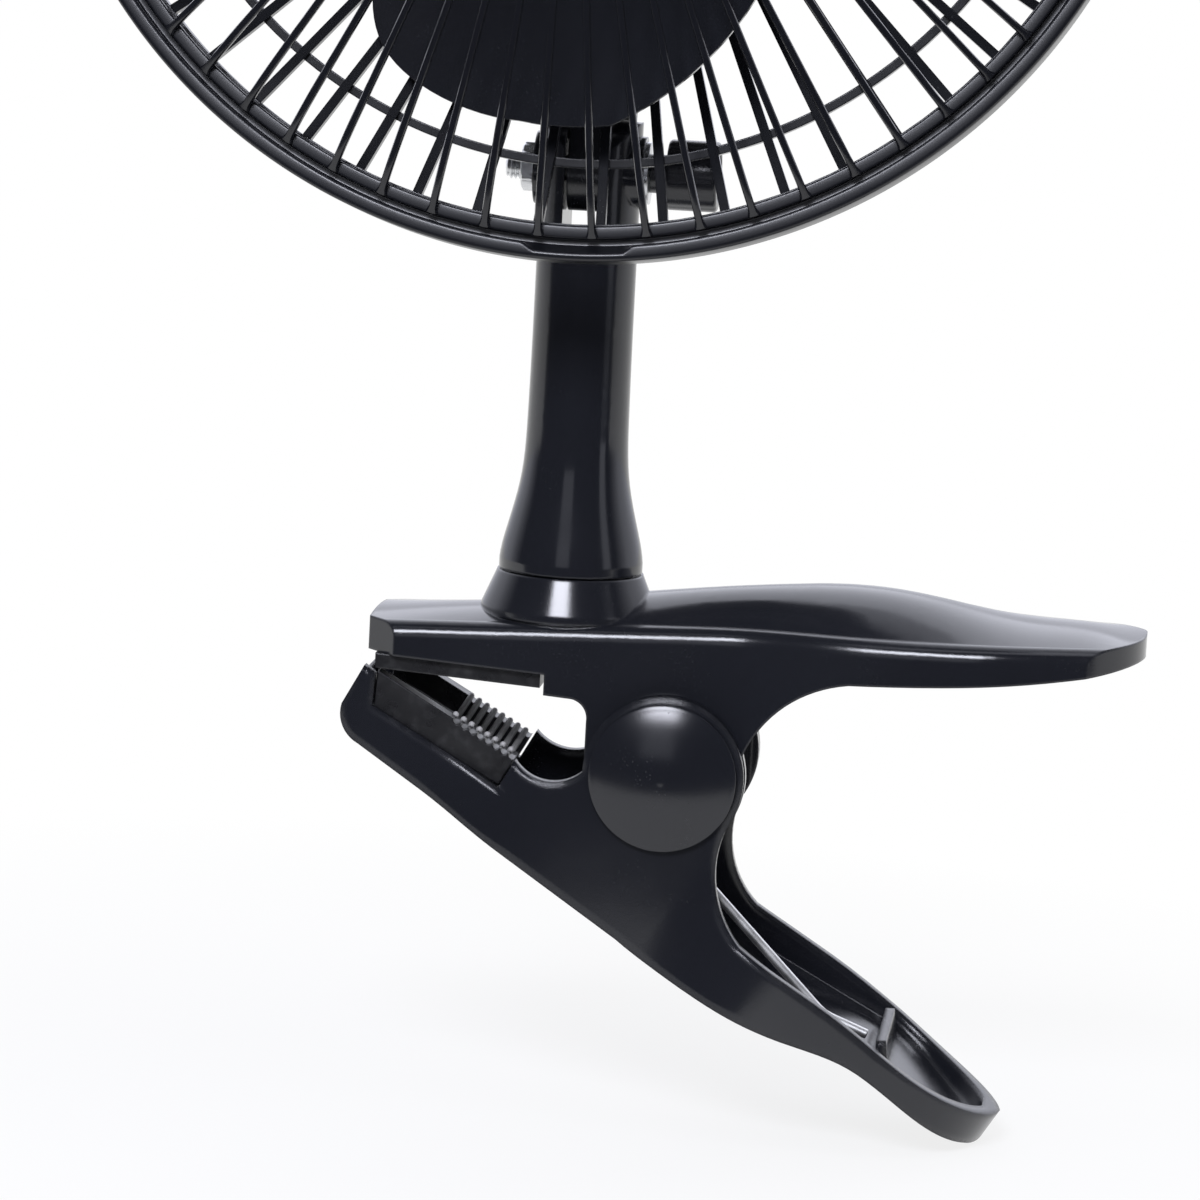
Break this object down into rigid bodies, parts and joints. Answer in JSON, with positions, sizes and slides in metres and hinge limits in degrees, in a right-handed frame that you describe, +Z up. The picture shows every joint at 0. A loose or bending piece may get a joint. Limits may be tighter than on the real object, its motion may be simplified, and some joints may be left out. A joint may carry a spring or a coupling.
{
  "type": "clip fan",
  "caption": "Small desk fan on a spring clip: domed round guard, three-blade rotor, tilting head, turning neck and ribbed gripping jaws.",
  "frame": {"origin": "middle of the upper jaw's grip face, where the clip holds a shelf or rail", "axes": "+X along the clip from the jaws to the handles, -Y the side the fan faces, +Z up along the neck"},
  "size_m": [0.1833, 0.1221, 0.3194],
  "materials": {
    "black_gloss": "moulded gloss black",
    "black_pad": "satin moulded",
    "badge": "polished, bare",
    "zinc_steel": "zinc plated",
    "spring_wire": "drawn wire",
    "shaft_steel": "ground",
    "core_steel": "stacked sheet",
    "copper": "enamelled copper",
    "bobbin": "moulded",
    "bracket": "die cast",
    "bronze": "sintered, oiled",
    "switch_shell": "moulded",
    "grommet_rubber": "soft"
  },
  "bodies": {
    "clip": {"upper_arm": "black_gloss", "upper_jaw_pad": "black_pad"},
    "lower_arm": {"lower_arm": "black_gloss", "lower_jaw_pad": "black_pad", "pivot_pin": "zinc_steel", "pivot_caps": "black_gloss", "clip_spring": "spring_wire"},
    "neck": {"neck": "black_gloss", "neck_washer": "zinc_steel", "neck_screw": "zinc_steel", "tilt_nut": "zinc_steel", "tilt_washer": "zinc_steel"},
    "tilt_knob": {"tilt_knob": "black_gloss", "tilt_bolt": "zinc_steel"},
    "head": {"front_grille": "black_gloss", "grille_badge": "badge", "rear_grille": "black_gloss", "motor_housing": "black_gloss", "motor_cover": "black_gloss", "housing_screws": "zinc_steel", "stator_core": "core_steel", "coil_bobbin": "bobbin", "stator_coil": "copper", "shading_rings": "copper", "front_bracket": "bracket", "rear_bracket": "bracket", "front_bearing": "bronze", "rear_bearing": "bronze", "motor_bolts": "zinc_steel", "switch_body": "switch_shell", "cord_grommet": "grommet_rubber"},
    "rotor": {"fan_blade": "black_gloss", "motor_shaft": "shaft_steel", "rotor_core": "core_steel", "thrust_washers": "zinc_steel"},
    "switch_knob": {"switch_knob": "black_gloss"}
  },
  "joints": [
    {"name": "clip_squeeze", "type": "hinge", "parent": "clip", "child": "lower_arm", "pos_m": [0.0342, 0, -0.0132], "axis": [0, -1, 0], "range_deg": [0, 35], "stiffness_Nm_per_rad": 0.6, "springref_deg": -40.11, "deforming": ["clip_spring"]},
    {"name": "neck_swivel", "type": "hinge", "parent": "clip", "child": "neck", "pos_m": [0.016, 0, 0.0145], "axis": [0, 0, 1], "range_deg": [-90, 90]},
    {"name": "head_tilt", "type": "hinge", "parent": "neck", "child": "head", "pos_m": [0.016, 0, 0.0815], "axis": [-1, 0, 0], "range_deg": [-35, 50]},
    {"name": "knob_turn", "type": "hinge", "parent": "neck", "child": "tilt_knob", "pos_m": [0.016, 0, 0.0815], "axis": [1, 0, 0], "range_deg": [0, 360]},
    {"name": "fan_spin", "type": "hinge", "parent": "head", "child": "rotor", "pos_m": [0.016, -0.02019, 0.15846], "axis": [0, -0.9903, 0.1392], "continuous": true},
    {"name": "switch_turn", "type": "hinge", "parent": "head", "child": "switch_knob", "pos_m": [0.016, 0.06303, 0.13263], "axis": [0, 0.9903, -0.1392], "range_deg": [0, 90]}
  ]
}
